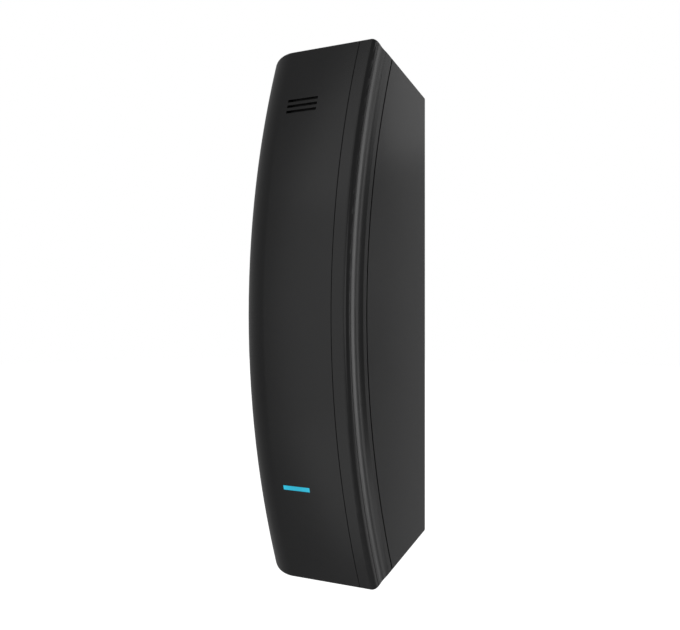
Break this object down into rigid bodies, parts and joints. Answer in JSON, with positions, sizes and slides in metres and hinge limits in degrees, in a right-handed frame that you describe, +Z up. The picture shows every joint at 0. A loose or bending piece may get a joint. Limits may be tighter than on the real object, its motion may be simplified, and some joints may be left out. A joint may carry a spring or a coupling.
{
  "type": "rfid card reader",
  "caption": "Tall narrow wall-mounted card reader with a bowed front, side rail, light bar and sounder slots, hooked on a wall bracket.",
  "frame": {"origin": "centre of the wall face, midway between the wall holes", "axes": "+Z up, +X to the right seen from the front, -Y out of the wall towards the user, +Y into the wall"},
  "size_m": [0.048, 0.0349, 0.1562],
  "materials": {
    "bracket_steel": "matt black powder coat",
    "housing_black": "fine moulded texture",
    "cover_black": "smooth satin",
    "rail_black": "smooth satin",
    "seal_rubber": "matt",
    "foam": "closed-cell foam",
    "light_guide": "clear, lit cyan blue",
    "light_chip": "moulded",
    "board_green": "solder mask",
    "board_black": "solder mask",
    "copper": "bare copper",
    "ferrite": "matt",
    "nylon": "natural nylon",
    "zinc_steel": "zinc plated",
    "black_steel": "black oxide",
    "tinned_can": "tinned",
    "chip_black": "moulded",
    "capacitor_can": "drawn can",
    "terminal_plastic": "moulded",
    "switch_plastic": "moulded",
    "plunger_white": "moulded",
    "membrane": "fine mesh"
  },
  "bodies": {
    "bracket": {"wall_bracket": "bracket_steel"},
    "reader": {"rear_housing": "housing_black", "housing_gasket": "seal_rubber", "mid_frame": "rail_black", "edge_rail": "rail_black", "front_cover": "cover_black", "light_guide": "light_guide", "status_lights": "light_chip", "front_board": "board_black", "antenna_coil": "copper", "ferrite_sheet": "ferrite", "board_spacers": "nylon", "front_board_screws": "zinc_steel", "board_link": "chip_black", "main_board": "board_green", "board_screws": "zinc_steel", "shield_can": "tinned_can", "controller_chip": "chip_black", "capacitors": "capacitor_can", "terminal_block": "terminal_plastic", "terminal_screws": "zinc_steel", "cable_gasket": "foam", "tamper_switch": "switch_plastic", "tamper_spring": "zinc_steel", "frame_screws": "zinc_steel", "lock_nut": "zinc_steel", "sounder": "chip_black", "sounder_mesh": "membrane"},
    "lock_screw": {"lock_screw": "black_steel"},
    "tamper_plunger": {"tamper_plunger": "plunger_white"}
  },
  "joints": [
    {"name": "reader_swing", "type": "hinge", "parent": "bracket", "child": "reader", "pos_m": [0, 0, 0.06375], "axis": [-1, 0, 0], "range_deg": [0, 10]},
    {"name": "lock_screw_turn", "type": "hinge", "parent": "reader", "child": "lock_screw", "pos_m": [0, -0.0064, -0.0625], "axis": [0, 0, 1], "continuous": true},
    {"name": "tamper_plunger_slide", "type": "slide", "parent": "reader", "child": "tamper_plunger", "axis": [0, 1, 0], "range_m": [0, 0.002], "deforming": ["tamper_spring"]}
  ],
  "couplings": [
    {"joint": "tamper_plunger_slide", "follows": "reader_swing", "m_per_rad": 0.0114}
  ]
}
